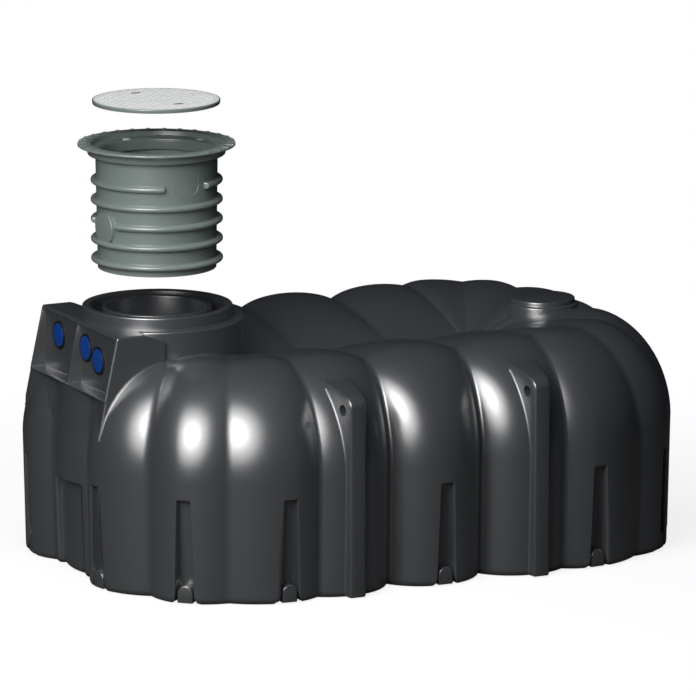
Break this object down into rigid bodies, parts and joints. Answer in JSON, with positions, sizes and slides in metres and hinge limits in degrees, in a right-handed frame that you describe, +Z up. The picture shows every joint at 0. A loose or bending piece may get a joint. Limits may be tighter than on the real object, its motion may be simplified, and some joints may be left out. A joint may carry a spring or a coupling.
{
  "type": "flat underground water tank",
  "caption": "Flat underground plastic water tank with a lobed shell, an inlet block with plugged pipe seals, lifting lugs, a round neck, a ribbed access shaft and its cover.",
  "frame": {"origin": "on the ground under the middle of the tank, the bottom centre of the whole part's box", "axes": "+X along the tank away from the neck, +Y to the far long side, +Z up"},
  "size_m": [3.407, 2.472, 2.505],
  "materials": {
    "tank_black": "satin moulded polyethylene, charcoal black",
    "seal_rubber": "moulded black rubber",
    "plug_blue": "smooth moulded blue plastic",
    "shaft_grey": "matt moulded polyethylene, greenish grey",
    "cover_grey": "pale grey moulded plastic with a raised anti-slip pattern"
  },
  "bodies": {
    "tank": {"floor_pan": "tank_black", "wall_near_left_corner": "tank_black", "wall_near_left_bay": "tank_black", "wall_near_middle_bay": "tank_black", "wall_near_right_bay": "tank_black", "wall_near_right_corner": "tank_black", "wall_far_left_corner": "tank_black", "wall_far_left_bay": "tank_black", "wall_far_middle_bay": "tank_black", "wall_far_right_bay": "tank_black", "wall_far_right_corner": "tank_black", "wall_left_end": "tank_black", "wall_right_end": "tank_black", "roof_near_left_corner": "tank_black", "roof_near_left_bay": "tank_black", "roof_near_middle_bay": "tank_black", "roof_near_right_bay": "tank_black", "roof_near_right_corner": "tank_black", "roof_far_left_corner": "tank_black", "roof_far_left_bay": "tank_black", "roof_far_middle_bay": "tank_black", "roof_far_right_bay": "tank_black", "roof_far_right_corner": "tank_black", "roof_left_end": "tank_black", "roof_right_end": "tank_black", "inlet_collar": "tank_black", "neck_ring": "tank_black", "manway_ring": "tank_black", "boss_cap": "tank_black", "lug_near_left": "tank_black", "lug_near_right": "tank_black", "lug_far_left": "tank_black", "lug_far_right": "tank_black", "pipe_seal_1": "seal_rubber", "pipe_seal_2": "seal_rubber", "pipe_seal_3": "seal_rubber", "seal_plug_1": "plug_blue", "seal_plug_2": "plug_blue", "seal_plug_3": "plug_blue"},
    "shaft": {"shaft_tube": "shaft_grey", "shaft_frame": "shaft_grey"},
    "cover": {"cover_plate": "cover_grey", "cover_rim": "shaft_grey"}
  },
  "joints": [
    {"name": "shaft_slide", "type": "slide", "parent": "tank", "child": "shaft", "axis": [0, 0, 1], "range_m": [-0.3547, 0]},
    {"name": "cover_lift", "type": "slide", "parent": "shaft", "child": "cover", "axis": [0, 0, 1], "range_m": [-0.2357, 0]}
  ]
}
